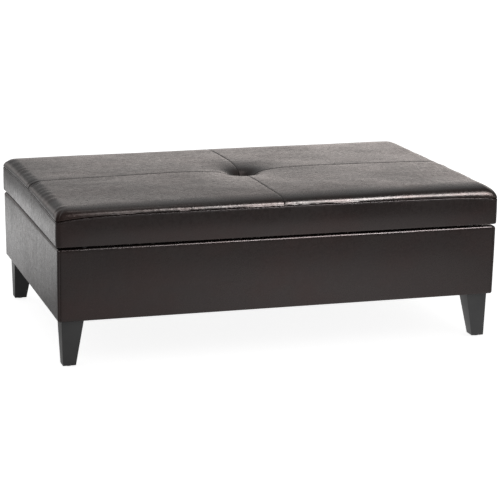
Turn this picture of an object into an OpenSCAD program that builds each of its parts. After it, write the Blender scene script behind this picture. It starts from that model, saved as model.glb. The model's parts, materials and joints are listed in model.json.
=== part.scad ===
// Storage ottoman: a leather-covered box on four tapered legs, with a padded lid hinged at the back.
// The origin is the centre of the footprint, on the floor. X runs along the length, the front
// faces -Y and Z is up. All sizes are in millimetres, with the lid closed.

/* [Box] */
// Length of the box over its cover
box_w = 1270; // [1000:10:1400]
// Depth of the box over its cover
box_d = 810; // [700:10:900]
// Height of the box, from the top of the legs to its rim
box_h = 199; // [190:1:240]
// Thickness of the side panels
panel_t = 15; // [15:1:18]
// Thickness of the floor panel
floor_t = 9; // [9:1:15]
// Side of the square corner blocks
block_w = 46; // [46:1:50]

/* [Legs] */
// Height of the legs with their glides
leg_h = 131; // [110:1:160]
// Width of a leg at its top
leg_top_w = 59; // [56:1:64]
// Width of a leg at its bottom
leg_bottom_w = 36.5; // [32:0.5:48]
// How far the feet of the legs stand in from the box faces
leg_inset = 13.5; // [8:0.5:16]
// How far the outer faces of a leg lean out from the foot to the top
leg_lean = 3; // [0:0.5:5]

/* [Lid] */
// Gap between the rim and the closed lid
lid_gap = 6; // [6:0.5:8]
// How far the lid stands out past the box on every side
lid_over = 3; // [3:0.5:6]
// Height of the lid's side at the middle of the long sides, up to the boundary seam
boxing_h = 86; // [80:1:110]
// How far the boundary seam dips at the corners
seam_dip = 11; // [0:1:16]
// How far the seam rises again in the middle of the short sides
side_bow = 7; // [0:1:10]
// Height of the rounded edge above the seam, at the middle of the long sides
roll_h = 20.5; // [12:0.5:30]
// Width of the rounded edge along the long sides
roll_w = 55; // [30:1:80]
// Width of the rounded edge along the short sides
end_roll_w = 36; // [24:1:60]
// Extra height of the pad in the middle
crown_h = 7; // [0:1:16]

/* [Upholstery] */
// Thickness of the leather
leather_t = 1.2; // [1:0.1:1.5]
// Thickness of the wadding under the leather on the sides
wadding_t = 2.8; // [2:0.1:4]
// Depth of the narrow part of the tufted dimple
tuft_core = 30; // [10:1:32]
// Depth of the wide part of the tufted dimple
tuft_wide = 24; // [4:1:24]

/* [Hardware] */
// Length of one hinge
hinge_len = 76; // [60:1:100]
// Distance of the outer hinges from the middle
hinge_x = 430; // [200:10:440]
// Outer radius of the hinge barrel
barrel_r = 2.7; // [2.5:0.1:2.7]
// Radius of the hinge pin
pin_r = 1.3; // [1.1:0.1:1.3]
// Width of the stay arms
arm_w = 18; // [14:1:20]

/* [Hidden] */
$fn = 64;

leather = [0.13, 0.10, 0.09];
black_wood = [0.10, 0.10, 0.10];
raw_wood = [0.76, 0.62, 0.43];
plywood = [0.80, 0.67, 0.48];
steel = [0.72, 0.72, 0.70];
cloth = [0.08, 0.08, 0.08];
felt = [0.90, 0.90, 0.88];
foam = [0.93, 0.86, 0.62];
rubber = [0.05, 0.05, 0.05];

// Box heights and faces
rim_z = leg_h + box_h;
skin_t = leather_t + wadding_t;
wood_x = box_w / 2 - skin_t;
wood_y = box_d / 2 - skin_t;
in_x = wood_x - panel_t;
in_y = wood_y - panel_t;
wood_bottom = leg_h + leather_t;
wood_top = rim_z - leather_t;
floor_top = wood_bottom + floor_t;
under_flap = 32;
inner_flap = 25;
lining_t = 1;
lining_top = rim_z - inner_flap - 2;
block_top = lining_top - 3;
mitre_w = 60;

// Legs
glide_t = 3;
leg_chamfer = 1.5;
bolt_r = 4;
bolt_fit = 0.05;
bolt_in = leg_inset + leg_top_w / 2;
glide_in = leg_inset + leg_bottom_w / 2;
nut_barrel_r = 5.1;
nut_flange_r = 10;
nut_flange_t = 1.6;

// Lid heights and faces
lid_z = rim_z + lid_gap;
lid_x = box_w / 2 + lid_over;
lid_y = box_d / 2 + lid_over;
lid_wood_x = lid_x - skin_t;
lid_wood_y = lid_y - skin_t;
rail_w = 20;
rail_h = 40;
rail_z = lid_z + leather_t;
deck_t = 12;
deck_z = rail_z + rail_h;
deck_top = deck_z + deck_t;
lid_flap = 18;
brace_x = 210;
seam_z = lid_z + boxing_h;
dip_len = 80;
seam_clear = 0.3;
tuft_core_r = 32;
tuft_wide_r = 60;

// Tuft
button_r = 13;
button_h = 8.5;
twine_r = 1.2;
twine_hole_r = 1.6;
washer_r = 14;
washer_t = 2;

// Hinges
axis_y = box_d / 2;
axis_z = rim_z + lid_gap / 2;
leaf_t = 1.8;
leaf_reach = 18;
barrel_clear = 0.4;
pin_fit = 0.06;
knuckles = 5;
knuckle_gap = 0.3;
leaf_hole_x = 25;
leaf_hole_y = axis_y - 10.5;
hinge_places = [-hinge_x, 0, hinge_x];

// Screws
screw_r = 1.5;
screw_fit = 0.05;
screw_head_r = 2.95;
screw_head_h = 1.4;
screw_len = 13;

// Lid stays: two equal and parallel pairs of links, so the arms turn exactly as the lid does.
// Every pair is [y, z]. The pivots are A on the box, B on the lid and K at the knuckle.
lid_link = [-160, -14];
box_link = [-80, -105];
pivot_a = [axis_y, axis_z] + box_link;
pivot_b = [axis_y, axis_z] + lid_link;
pivot_k = pivot_a + lid_link;
stay_x = in_x - lining_t;
plate_t = 2;
layer_gap = 0.6;
lower_x = stay_x - plate_t - layer_gap;
upper_x = lower_x - plate_t - layer_gap;
tab_x = upper_x - plate_t - layer_gap;
rivet_r = 2.5;
rivet_fit = 0.05;
knuckle_fit = 0.5;
rivet_head_r = 4.5;
rivet_head_t = 1.2;
rivet_gap = 0.2;
bracket_w = 22;
bracket_screws = [18, 34];
flange_reach = 25;
flange_l = 40;
flange_screw_y = 13;

bumper_r = 6;
bumper_x = 560;
bumper_clear = 0.3;

// Surface of the pad: seam line, rounded edge, crown and tufted dimple

function edge_round(d, w) = d >= w ? 1 : sqrt(max(0, 1 - pow(1 - d / w, 2)));

function seam_at(x, y) =
  let (fade = exp(-(lid_x - abs(x)) / dip_len))
  seam_z - seam_dip * fade + side_bow * pow(cos(90 * y / lid_y), 2) * fade;

function tuft_at(r) =
  tuft_core * exp(-pow(r / tuft_core_r, 2)) + tuft_wide * exp(-r / tuft_wide_r);

function top_at(x, y) =
  let (seam = seam_at(x, y))
  let (pad = seam_z + roll_h + crown_h * (1 - pow(x / lid_x, 2)) * (1 - pow(y / lid_y, 2)))
  seam
  + (pad - seam) * edge_round(lid_x - abs(x), end_roll_w) * edge_round(lid_y - abs(y), roll_w)
  - tuft_at(norm([x, y]));

// Grid lines from the middle to an edge: close together in the dimple and in the rounded edge
dimple_lines = [0, 10, 22, 38, 60, 90, 130];
roll_lines = 5;
function grid_lines(half, steps, w) =
  let (from = dimple_lines[len(dimple_lines) - 1], to = half - w)
  concat(
    dimple_lines,
    [for (k = [1:steps]) from + (to - from) * k / steps],
    [for (k = [1:roll_lines]) half - w * (1 - sin(90 * k / roll_lines))]
  );
function both_sides(lines) =
  concat([for (k = [len(lines) - 1:-1:1]) -lines[k]], lines);
function lines_x() = grid_lines(lid_x, 4, end_roll_w);
function lines_y() = grid_lines(lid_y, 3, roll_w);

// Triangles of a grid of nx by ny points, numbered from first; up faces +Z, or -Z if not up
function grid_faces(nx, ny, first, up) = [
  for (i = [0:nx - 2], j = [0:ny - 2])
    let (a = first + i * ny + j, b = a + ny, c = b + 1, d = a + 1)
    for (face = up ? [[a, d, c], [a, c, b]] : [[a, b, c], [a, c, d]]) face
];

// The same for a grid over all four quarters, each split along lines that run from the middle
function quartered_faces(nx, ny) = [
  for (i = [0:nx - 2], j = [0:ny - 2])
    let (a = i * ny + j, b = a + ny, c = b + 1, d = a + 1)
    let (same = (i < (nx - 1) / 2) == (j < (ny - 1) / 2))
    for (face = same ? [[a, d, c], [a, c, b]] : [[a, d, b], [d, c, b]]) face
];

// Turns a quarter by the corner, so that a shape drawn inwards from +X +Y suits any corner
function corner_turn(sx, sy) = sx > 0 ? (sy > 0 ? 0 : 270) : (sy > 0 ? 90 : 180);

module at_corner(sx, sy, half_x = box_w / 2, half_y = box_d / 2)
  translate([sx * half_x, sy * half_y, 0]) rotate([0, 0, corner_turn(sx, sy)]) children();

module at_each_corner(half_x = box_w / 2, half_y = box_d / 2)
  for (sx = [-1, 1], sy = [-1, 1]) at_corner(sx, sy, half_x, half_y) children();

// Sides are numbered 0 front, 1 right, 2 back, 3 left
module on_side(side) rotate([0, 0, 90 * side]) children();
function side_length(side, w, d) = side % 2 == 0 ? w : d;
function side_reach(side, w, d) = (side % 2 == 0 ? d : w) / 2;

// A flat profile of [inwards, up] run along one side of a w by d rectangle, mitred at its ends
module mitred_strip(side, w, d) {
  len = side_length(side, w, d);
  reach = side_reach(side, w, d);
  on_side(side) intersection() {
    translate([0, -reach, 0]) rotate([90, 0, 90])
      linear_extrude(height = len, center = true) children();
    linear_extrude(height = 1000)
      polygon([
        [-len / 2, -reach],
        [len / 2, -reach],
        [len / 2 - mitre_w, -reach + mitre_w],
        [-len / 2 + mitre_w, -reach + mitre_w]
      ]);
  }
}

// Wood and fasteners

module wood_screw()
  union() {
    cylinder(r1 = screw_head_r, r2 = screw_r, h = screw_head_h);
    cylinder(r = screw_r, h = screw_len);
  }

module screw_bore()
  translate([0, 0, -1]) cylinder(r = screw_r + screw_fit, h = screw_len + 1.5);

module countersink()
  union() {
    cylinder(
      r1 = screw_head_r + screw_fit, r2 = screw_r + screw_fit, h = screw_head_h + screw_fit
    );
    screw_bore();
  }

// Places for the box's screws, each with the screw's head at the origin and its point up +Z
module box_screw_places() {
  for (x = hinge_places, s = [-1, 1])
    translate([x + s * leaf_hole_x, leaf_hole_y, rim_z + leaf_t]) rotate([180, 0, 0]) children();
  for (s = [-1, 1], drop = bracket_screws)
    translate([s * (stay_x - plate_t), pivot_a[0], pivot_a[1] - drop])
      rotate([0, s * 90, 0]) children();
}

module lid_screw_places() {
  for (x = hinge_places, s = [-1, 1])
    translate([x + s * leaf_hole_x, leaf_hole_y, lid_z - leaf_t]) children();
  for (s = [-1, 1], t = [-1, 1])
    translate([s * (lid_wood_x - rail_w / 2), pivot_b[0] + t * flange_screw_y, lid_z - plate_t])
      children();
}

module panel_long(sy)
  color(raw_wood) difference() {
    translate([-wood_x, sy > 0 ? in_y : -wood_y, wood_bottom])
      cube([2 * wood_x, panel_t, wood_top - wood_bottom]);
    if (sy > 0) box_screw_places() screw_bore();
  }

module panel_short(sx)
  color(raw_wood) difference() {
    translate([sx > 0 ? in_x : -wood_x, -in_y, wood_bottom])
      cube([panel_t, 2 * in_y, wood_top - wood_bottom]);
    box_screw_places() screw_bore();
  }

module panel_floor()
  color(plywood) difference() {
    translate([-in_x, -in_y, wood_bottom]) cube([2 * in_x, 2 * in_y, floor_t]);
    at_each_corner() translate([-bolt_in, -bolt_in, wood_bottom - 1])
      cylinder(r = nut_barrel_r + bolt_fit, h = floor_t + 2);
  }

module corner_block(sx, sy)
  color(raw_wood) at_corner(sx, sy) difference() {
    translate([-skin_t - panel_t - block_w, -skin_t - panel_t - block_w, floor_top])
      cube([block_w, block_w, block_top - floor_top]);
    translate([-bolt_in, -bolt_in, floor_top - 1]) cylinder(r = nut_flange_r + 1, h = 22);
  }

// A leg's outer faces lean a little and its two inner faces taper to the foot
module leg_side()
  linear_extrude(height = 300, center = true)
    polygon([
      [-leg_inset + leg_lean, leg_h],
      [-leg_inset - leg_top_w, leg_h],
      [-leg_inset - leg_bottom_w, glide_t + leg_chamfer],
      [-leg_inset - leg_bottom_w + leg_chamfer, glide_t],
      [-leg_inset - leg_chamfer, glide_t],
      [-leg_inset, glide_t + leg_chamfer]
    ]);

module leg(sx, sy)
  color(black_wood) at_corner(sx, sy) difference() {
    intersection() {
      rotate([90, 0, 0]) leg_side();
      rotate([90, 0, 90]) leg_side();
    }
    translate([-bolt_in, -bolt_in, leg_h - 34]) cylinder(r = bolt_r + bolt_fit, h = 40);
    translate([-glide_in, -glide_in, 0]) cylinder(r = screw_r + screw_fit, h = 16);
  }

module leg_hanger_bolts()
  color(steel) at_each_corner() translate([-bolt_in, -bolt_in, leg_h - 33])
    cylinder(r = bolt_r, h = 58);

module leg_tee_nuts()
  color(steel) at_each_corner() translate([-bolt_in, -bolt_in, 0]) difference() {
    union() {
      translate([0, 0, floor_top]) cylinder(r = nut_flange_r, h = nut_flange_t);
      translate([0, 0, wood_bottom + 1]) cylinder(r = nut_barrel_r, h = floor_t);
    }
    translate([0, 0, wood_bottom]) cylinder(r = bolt_r + bolt_fit, h = floor_t + 5);
  }

module leg_glides()
  color(rubber) at_each_corner() translate([-glide_in, -glide_in, 0]) {
    cylinder(r = 10, h = glide_t);
    cylinder(r = screw_r, h = 15);
  }

// Box upholstery

// Leather round one panel: outer face, over the rim, down inside, and under the bottom edge
module box_wrap_profile() {
  r = skin_t;
  rim = skin_t + panel_t;
  translate([0, leg_h]) difference() {
    union() {
      translate([r, 0]) square([rim + leather_t - r, box_h]);
      translate([0, r]) square([r, box_h - 2 * r]);
      for (v = [r, box_h - r]) translate([r, v]) circle(r);
      translate([r, 0]) square([under_flap - r, leather_t]);
    }
    translate([r, leather_t]) square([rim - r, box_h - 2 * leather_t]);
    translate([leather_t, r]) square([r, box_h - 2 * r]);
    for (v = [r, box_h - r]) translate([r, v]) circle(wadding_t);
    translate([rim - 1, leather_t]) square([leather_t + 2, box_h - inner_flap - leather_t]);
  }
}

module box_cover(side)
  color(leather) difference() {
    mitred_strip(side, box_w, box_d) box_wrap_profile();
    box_screw_places() screw_bore();
  }

module box_wadding()
  color(felt) for (side = [0:3])
    mitred_strip(side, box_w - 2 * leather_t, box_d - 2 * leather_t)
      translate([0, leg_h + skin_t]) square([wadding_t, box_h - 2 * skin_t]);

// Outline of the space inside the panels, notched round the corner blocks
function notched(hx, hy, n) = [
  [hx - n, hy], [n - hx, hy], [n - hx, hy - n], [-hx, hy - n],
  [-hx, n - hy], [n - hx, n - hy], [n - hx, -hy], [hx - n, -hy],
  [hx - n, n - hy], [hx, n - hy], [hx, hy - n], [hx - n, hy - n]
];

module lining_walls()
  color(cloth) difference() {
    translate([0, 0, floor_top])
      linear_extrude(height = lining_top - floor_top) difference() {
        polygon(notched(in_x, in_y, block_w));
        polygon(notched(in_x - lining_t, in_y - lining_t, block_w));
      }
    box_screw_places() screw_bore();
  }

module lining_floor()
  color(cloth) translate([0, 0, floor_top]) linear_extrude(height = lining_t)
    polygon(notched(in_x - lining_t, in_y - lining_t, block_w));

module dust_cover()
  color(cloth) translate([0, 0, leg_h]) difference() {
    translate([under_flap - box_w / 2, under_flap - box_d / 2, 0])
      cube([box_w - 2 * under_flap, box_d - 2 * under_flap, leather_t]);
    at_each_corner() translate([-bolt_in, -bolt_in, -1]) cylinder(r = bolt_r + 0.5, h = 4);
  }

module rim_bumpers()
  color(rubber) for (sx = [-1, 1], sy = [-1, 1])
    translate([sx * bumper_x, sy * (box_d / 2 - 10), rim_z])
      cylinder(r = bumper_r, h = lid_gap - bumper_clear);

// Hinges. The box leaf has the odd knuckles and lies on the rim; the lid leaf has the even ones.

knuckle_l = hinge_len / knuckles;

module hinge_leaf(first, z) {
  reach = barrel_r + barrel_clear;
  translate([-hinge_len / 2, axis_y - leaf_reach, z])
    cube([hinge_len, leaf_reach - reach, leaf_t]);
  for (k = [first:2:knuckles - 1]) translate([-hinge_len / 2 + k * knuckle_l, 0, 0]) {
    translate([knuckle_gap / 2, axis_y - reach - 1, z])
      cube([knuckle_l - knuckle_gap, reach + 1, leaf_t]);
    translate([knuckle_gap / 2, axis_y, axis_z]) rotate([0, 90, 0])
      cylinder(r = barrel_r, h = knuckle_l - knuckle_gap);
  }
}

module pin_bores()
  for (x = hinge_places)
    translate([x, axis_y, axis_z]) rotate([0, 90, 0])
      cylinder(r = pin_r + pin_fit, h = hinge_len + 2, center = true);

module hinge_box_leaves()
  color(steel) difference() {
    for (x = hinge_places) translate([x, 0, 0]) hinge_leaf(0, rim_z);
    pin_bores();
    box_screw_places() countersink();
  }

module hinge_lid_leaves()
  color(steel) difference() {
    for (x = hinge_places) translate([x, 0, 0]) hinge_leaf(1, lid_z - leaf_t);
    pin_bores();
    lid_screw_places() countersink();
  }

module hinge_pins()
  color(steel) for (x = hinge_places) translate([x, axis_y, axis_z]) rotate([0, 90, 0]) {
    cylinder(r = pin_r, h = hinge_len, center = true);
    for (s = [-1, 1]) translate([0, 0, s * (hinge_len / 2 + 0.4)])
      cylinder(r = barrel_r - 0.5, h = 0.8, center = true);
  }

module box_screws() color(steel) box_screw_places() wood_screw();
module lid_screws() color(steel) lid_screw_places() wood_screw();

// Stays, drawn for the right side: shapes in the Y-Z plane, a plate thick towards -X

module yz_plate(x)
  translate([x - plate_t, 0, 0]) rotate([90, 0, 90]) linear_extrude(height = plate_t) children();

module rivet(pivot, x, depth) {
  translate([x - depth, pivot[0], pivot[1]]) rotate([0, 90, 0])
    cylinder(r = rivet_r, h = depth);
  translate([x - depth, pivot[0], pivot[1]]) rotate([0, 90, 0])
    cylinder(r = rivet_head_r, h = rivet_head_t);
}

module arm(x, from, to, from_hole_r, to_hole_r) {
  step = to - from;
  yz_plate(x) translate(from) rotate(atan2(step[1], step[0])) difference() {
    union() {
      circle(arm_w / 2);
      translate([norm(step), 0]) circle(arm_w / 2);
      translate([0, -arm_w / 2]) square([norm(step), arm_w]);
    }
    circle(from_hole_r);
    translate([norm(step), 0]) circle(to_hole_r);
  }
}

module to_side(sx)
  if (sx > 0) children();
  else mirror([1, 0, 0]) children();

module stay_box_bracket(sx)
  color(steel) difference() {
    to_side(sx) {
      yz_plate(stay_x) translate([pivot_a[0] - bracket_w / 2, pivot_a[1] - 44])
        square([bracket_w, 55]);
      rivet(pivot_a, stay_x - plate_t, layer_gap + plate_t + rivet_gap + rivet_head_t);
    }
    box_screw_places() countersink();
  }

module stay_lid_bracket(sx)
  color(steel) difference() {
    to_side(sx) {
      translate([tab_x - plate_t, pivot_b[0] - flange_l / 2, lid_z - plate_t])
        cube([flange_reach, flange_l, plate_t]);
      yz_plate(tab_x) translate([pivot_b[0] - bracket_w / 2, pivot_b[1] - 11])
        square([bracket_w, lid_z - pivot_b[1] + 11]);
      translate([tab_x, pivot_b[0], pivot_b[1]]) rotate([0, 90, 0])
        cylinder(r = rivet_r, h = layer_gap + plate_t + rivet_gap);
      translate([tab_x + layer_gap + plate_t + rivet_gap, pivot_b[0], pivot_b[1]])
        rotate([0, 90, 0]) cylinder(r = rivet_head_r, h = rivet_head_t);
    }
    lid_screw_places() countersink();
  }

module stay_lower_arm(sx)
  color(steel) to_side(sx) {
    arm(lower_x, pivot_a, pivot_k, rivet_r + rivet_fit, rivet_r - 0.5);
    rivet(pivot_k, lower_x, 2 * plate_t + layer_gap + rivet_gap + rivet_head_t);
  }

module stay_upper_arm(sx)
  color(steel) to_side(sx)
    arm(upper_x, pivot_k, pivot_b, rivet_r + knuckle_fit, rivet_r + rivet_fit);

// Lid frame

module lid_deck()
  color(plywood) difference() {
    translate([-lid_wood_x, -lid_wood_y, deck_z])
      cube([2 * lid_wood_x, 2 * lid_wood_y, deck_t]);
    translate([0, 0, deck_z - 1]) cylinder(r = 4, h = deck_t + 2);
  }

module lid_rail_long(sy)
  color(raw_wood) difference() {
    translate([-lid_wood_x, sy > 0 ? lid_wood_y - rail_w : -lid_wood_y, rail_z])
      cube([2 * lid_wood_x, rail_w, rail_h]);
    lid_screw_places() screw_bore();
  }

module lid_rail_short(sx)
  color(raw_wood) difference() {
    translate([sx > 0 ? lid_wood_x - rail_w : -lid_wood_x, rail_w - lid_wood_y, rail_z])
      cube([rail_w, 2 * (lid_wood_y - rail_w), rail_h]);
    lid_screw_places() screw_bore();
  }

module lid_braces()
  color(raw_wood) for (sx = [-1, 1])
    translate([sx * brace_x - rail_w / 2, rail_w - lid_wood_y, rail_z])
      cube([rail_w, 2 * (lid_wood_y - rail_w), rail_h]);

module lid_liner()
  color(cloth) translate([lid_flap - lid_x, lid_flap - lid_y, lid_z + 0.2])
    cube([2 * (lid_x - lid_flap), 2 * (lid_y - lid_flap), leather_t - 0.2]);

module lid_wadding()
  color(felt) for (side = [0:3])
    mitred_strip(side, 2 * (lid_x - leather_t), 2 * (lid_y - leather_t))
      translate([0, lid_z + skin_t]) square([wadding_t, deck_top - lid_z - skin_t]);

// Lid upholstery

// Leather of one side, from the boundary seam down and under the rail
module boxing_profile() {
  r = skin_t;
  translate([0, lid_z]) difference() {
    union() {
      translate([0, r]) square([leather_t, boxing_h + 10]);
      translate([r, r]) circle(r);
      translate([r, 0]) square([lid_flap - r, leather_t]);
    }
    translate([r, r]) circle(wadding_t);
    translate([leather_t, r]) square([r + 4, r + 4]);
    translate([r, leather_t]) square([r + 4, r + 4]);
  }
}

// Height of the boundary seam at a distance along a side, counted from its middle
function seam_on_side(side, along) =
  side % 2 == 0 ? seam_at(along, lid_y) : seam_at(lid_x, along);

module boxing(side) {
  half = side_length(side, lid_x, lid_y);
  reach = side_reach(side, 2 * lid_x, 2 * lid_y);
  lines = both_sides(side % 2 == 0 ? lines_x() : lines_y());
  color(leather) difference() {
    intersection() {
      mitred_strip(side, 2 * lid_x, 2 * lid_y) boxing_profile();
      on_side(side) translate([0, -reach + lid_flap + 1, 0]) rotate([90, 0, 0])
        linear_extrude(height = lid_flap + 2)
          polygon(concat(
            [[half, lid_z - 1], [-half, lid_z - 1]],
            [for (s = lines) [s, seam_on_side(side, s) - leather_t - seam_clear]]
          ));
    }
    lid_screw_places() screw_bore();
  }
}

module twine_bore() translate([0, 0, deck_top - 1]) cylinder(r = twine_hole_r, h = 80);

module top_cover(sx, sy) {
  xs = lines_x();
  ys = lines_y();
  nx = len(xs);
  ny = len(ys);
  shrink_x = (lid_x - leather_t) / lid_x;
  shrink_y = (lid_y - leather_t) / lid_y;
  outer = [for (x = xs, y = ys) [x, y, top_at(x, y)]];
  inner = [for (p = outer) [p[0] * shrink_x, p[1] * shrink_y, p[2] - leather_t]];
  under = nx * ny;
  rim = concat(
    [for (i = [0:nx - 2]) [i * ny, (i + 1) * ny]],
    [for (j = [0:ny - 2]) [(nx - 1) * ny + j, (nx - 1) * ny + j + 1]],
    [for (i = [nx - 1:-1:1]) [i * ny + ny - 1, (i - 1) * ny + ny - 1]],
    [for (j = [ny - 1:-1:1]) [j, j - 1]]
  );
  faces = concat(
    grid_faces(nx, ny, 0, true),
    grid_faces(nx, ny, under, false),
    [for (e = rim, face = [[e[0], e[1], e[1] + under], [e[0], e[1] + under, e[0] + under]]) face]
  );
  color(leather) mirror([sx < 0 ? 1 : 0, 0, 0]) mirror([0, sy < 0 ? 1 : 0, 0])
    difference() {
      polyhedron(points = concat(outer, inner), faces = faces, convexity = 6);
      twine_bore();
    }
}

module lid_foam() {
  xs = both_sides(lines_x());
  ys = both_sides(lines_y());
  nx = len(xs);
  ny = len(ys);
  side_gap = leather_t + 0.1;
  shrink_x = (lid_x - side_gap) / lid_x;
  shrink_y = (lid_y - side_gap) / lid_y;
  top = [for (x = xs, y = ys) [x * shrink_x, y * shrink_y, top_at(x, y) - leather_t - 0.2]];
  corner = [lid_x - side_gap, lid_y - side_gap];
  bottom = [for (s = [[-1, -1], [1, -1], [1, 1], [-1, 1]])
    [s[0] * corner[0], s[1] * corner[1], deck_top]];
  b = nx * ny;
  faces = concat(
    quartered_faces(nx, ny),
    [[b, b + 1, b + 2, b + 3]],
    [concat([for (i = [0:nx - 1]) i * ny], [b + 1, b])],
    [concat([for (j = [0:ny - 1]) (nx - 1) * ny + j], [b + 2, b + 1])],
    [concat([for (i = [nx - 1:-1:0]) i * ny + ny - 1], [b + 3, b + 2])],
    [concat([for (j = [ny - 1:-1:0]) j], [b, b + 3])]
  );
  color(foam) difference() {
    polyhedron(points = concat(top, bottom), faces = faces, convexity = 6);
    twine_bore();
  }
}

// The button's rim rests on the dimple, where the dimple is as wide as the button
button_z = top_at(0, 0) + tuft_at(0) - tuft_at(button_r) + 0.8;

module tuft_button()
  color(leather) translate([0, 0, button_z]) rotate_extrude() {
    square([button_r, 2.5]);
    intersection() {
      translate([0, 2.5]) square([button_r, button_h]);
      translate([0, -button_r]) circle(button_r + button_h);
    }
  }

module tuft_twine()
  color(felt) translate([0, 0, deck_z - washer_t - 3])
    cylinder(r = twine_r, h = button_z - deck_z + washer_t + 3);

module tuft_washer()
  color(steel) translate([0, 0, deck_z - washer_t]) difference() {
    cylinder(r = washer_r, h = washer_t);
    translate([0, 0, -1]) cylinder(r = twine_hole_r, h = washer_t + 2);
  }

panel_long(-1);  // panel_front
panel_long(1);  // panel_back
panel_short(-1);  // panel_left
panel_short(1);  // panel_right
panel_floor();
corner_block(-1, -1);  // corner_block_front_left
corner_block(1, -1);  // corner_block_front_right
corner_block(-1, 1);  // corner_block_back_left
corner_block(1, 1);  // corner_block_back_right
leg(-1, -1);  // leg_front_left
leg(1, -1);  // leg_front_right
leg(-1, 1);  // leg_back_left
leg(1, 1);  // leg_back_right
leg_hanger_bolts();
leg_tee_nuts();
leg_glides();
box_wadding();
box_cover(0);  // box_cover_front
box_cover(1);  // box_cover_right
box_cover(2);  // box_cover_back
box_cover(3);  // box_cover_left
lining_walls();
lining_floor();
dust_cover();
hinge_box_leaves();
hinge_pins();
box_screws();
stay_box_bracket(-1);  // stay_box_bracket_left
stay_box_bracket(1);  // stay_box_bracket_right
rim_bumpers();
lid_deck();
lid_rail_long(-1);  // lid_rail_front
lid_rail_long(1);  // lid_rail_back
lid_rail_short(-1);  // lid_rail_left
lid_rail_short(1);  // lid_rail_right
lid_braces();
lid_foam();
lid_wadding();
top_cover(-1, -1);  // top_cover_front_left
top_cover(1, -1);  // top_cover_front_right
top_cover(-1, 1);  // top_cover_back_left
top_cover(1, 1);  // top_cover_back_right
boxing(0);  // boxing_front
boxing(1);  // boxing_right
boxing(2);  // boxing_back
boxing(3);  // boxing_left
tuft_button();
tuft_twine();
tuft_washer();
lid_liner();
hinge_lid_leaves();
lid_screws();
stay_lid_bracket(-1);  // stay_lid_bracket_left
stay_lid_bracket(1);  // stay_lid_bracket_right
stay_lower_arm(-1);  // stay_lower_arm_left
stay_lower_arm(1);  // stay_lower_arm_right
stay_upper_arm(-1);  // stay_upper_arm_left
stay_upper_arm(1);  // stay_upper_arm_right
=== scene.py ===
"""Looks of the storage ottoman: leather, seams, wood, hardware and lining, in a plain pale studio."""

import json
import math

import bmesh
import bpy
import numpy as np
from mathutils import Matrix, Vector


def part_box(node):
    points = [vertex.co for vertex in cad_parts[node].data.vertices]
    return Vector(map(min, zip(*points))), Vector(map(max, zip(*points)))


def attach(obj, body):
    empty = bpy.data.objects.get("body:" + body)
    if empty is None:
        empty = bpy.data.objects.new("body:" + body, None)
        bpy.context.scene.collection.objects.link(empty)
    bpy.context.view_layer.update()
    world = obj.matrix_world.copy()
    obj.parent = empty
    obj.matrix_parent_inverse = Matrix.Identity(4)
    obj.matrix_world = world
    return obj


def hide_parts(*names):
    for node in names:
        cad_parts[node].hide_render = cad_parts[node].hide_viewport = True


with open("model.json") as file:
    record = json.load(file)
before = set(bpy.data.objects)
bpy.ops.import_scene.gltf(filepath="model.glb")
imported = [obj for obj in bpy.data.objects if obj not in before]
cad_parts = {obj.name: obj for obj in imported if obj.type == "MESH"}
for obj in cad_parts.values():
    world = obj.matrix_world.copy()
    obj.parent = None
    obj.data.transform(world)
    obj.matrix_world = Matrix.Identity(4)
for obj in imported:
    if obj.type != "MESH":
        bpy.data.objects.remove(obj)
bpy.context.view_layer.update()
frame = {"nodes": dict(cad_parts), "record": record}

MM = 0.001

# ---------------------------------------------------------------- sizes, from the frame

LEATHER = 1.2 * MM
LID_X = -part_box("boxing_left")[0].x
LID_Y = -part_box("boxing_front")[0].y
LID_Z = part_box("boxing_front")[0].z
SEAM_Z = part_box("boxing_front")[1].z + LEATHER + 0.3 * MM
BOX_X = -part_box("box_cover_left")[0].x
BOX_Y = -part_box("box_cover_front")[0].y
BOX_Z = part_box("box_cover_front")[0].z
RIM_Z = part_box("box_cover_front")[1].z
RIM_W = BOX_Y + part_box("panel_front")[1].y + LEATHER
UNDER_FLAP = BOX_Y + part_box("box_cover_front")[1].y
LID_FLAP = LID_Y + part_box("boxing_front")[1].y

# The pad's surface, after the CAD model: seam line, rounded edge, crown and tufted dimple
SEAM_DIP, FRONT_LEFT_DIP = 10 * MM, 3 * MM
SIDE_BOW = 7 * MM
DIP_LEN = 80 * MM
ROLL_H = 20.5 * MM
ROLL_W_X, ROLL_W_Y = 36 * MM, 75 * MM
# The front roll is wider to the right and narrower to the left, by this share
FRONT_ROLL_SPREAD = 0.2
# The rounded edges' sections, as (share of the length, degrees of slope), from the seam up
END_SLOPES = ((0.0, 82), (0.1, 72), (0.3, 52), (0.5, 33), (0.7, 19), (0.85, 9), (1.0, 0))
ROLL_SLOPES = ((0.0, 77), (0.12, 68), (0.24, 58), (0.32, 42), (0.39, 24), (0.5, 11), (0.7, 5), (1.0, 0))
CROWN_H = 7 * MM
LEAN = 4 * MM
TUFT_CORE, TUFT_CORE_R = 30 * MM, 32 * MM
TUFT_WIDE, TUFT_WIDE_R = 24 * MM, 60 * MM
SEAM_SKEW = 6 * MM
# Distances of the grid's closest lines from the cross seam, in millimetres
SEAM_LINES = (0, 0.5, 1.1, 1.9, 3.0, 4.6, 7.0, 10.0, 14.0)

# Heights of the folds in the pad's leather
END_FOLD, END_GATHER, FRONT_GATHER = 1.7 * MM, 0.8 * MM, 0.35 * MM
SEAM_RIPPLE = 0.25 * MM
SEAM_PUCKER, SIDE_PUCKER, CORNER_TUCK = 2.0 * MM, 1.4 * MM, 2.2 * MM
SLOW_WAVE, SMALL_WAVE = 0.9 * MM, 0.22 * MM
TUFT_PLEAT = 0.6 * MM

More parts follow.
